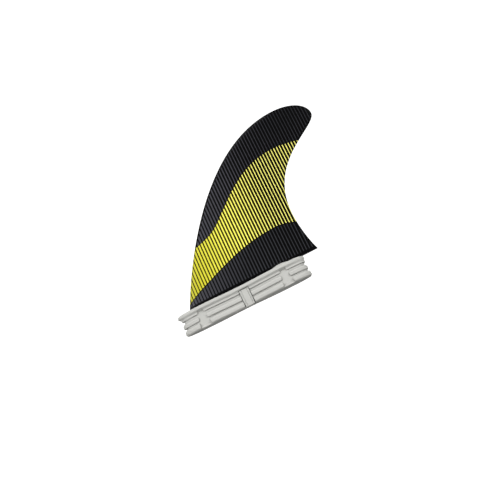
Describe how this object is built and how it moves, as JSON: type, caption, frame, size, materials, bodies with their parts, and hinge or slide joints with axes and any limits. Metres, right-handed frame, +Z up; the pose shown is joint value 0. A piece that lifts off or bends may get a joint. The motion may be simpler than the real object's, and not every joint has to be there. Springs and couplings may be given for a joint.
{
  "type": "surfboard fin",
  "caption": "Surfboard centre fin: a raked, foiled laminate blade with base tabs that click into a ribbed, bone-shaped moulded fin box with a crowned lip.",
  "frame": {"origin": "centre of the fin box's flat underside", "axes": "+X towards the tail, the way the blade rakes; +Y across the blade's thickness; +Z up through the blade, away from the board"},
  "size_m": [0.1701, 0.0184, 0.1371],
  "materials": {
    "blade_laminate": "satin resin over ribbed fibre laminate, black with a yellow band",
    "moulded_nylon": "fine matt as-moulded, light grey",
    "stainless_rod": "drawn and ground",
    "spring_rubber": "matt black, moulded"
  },
  "bodies": {
    "root": {"fin_blade": "blade_laminate", "fin_box": "moulded_nylon", "hook_pin": "stainless_rod", "detent_roller": "stainless_rod", "detent_spring": "spring_rubber"}
  },
  "joints": []
}
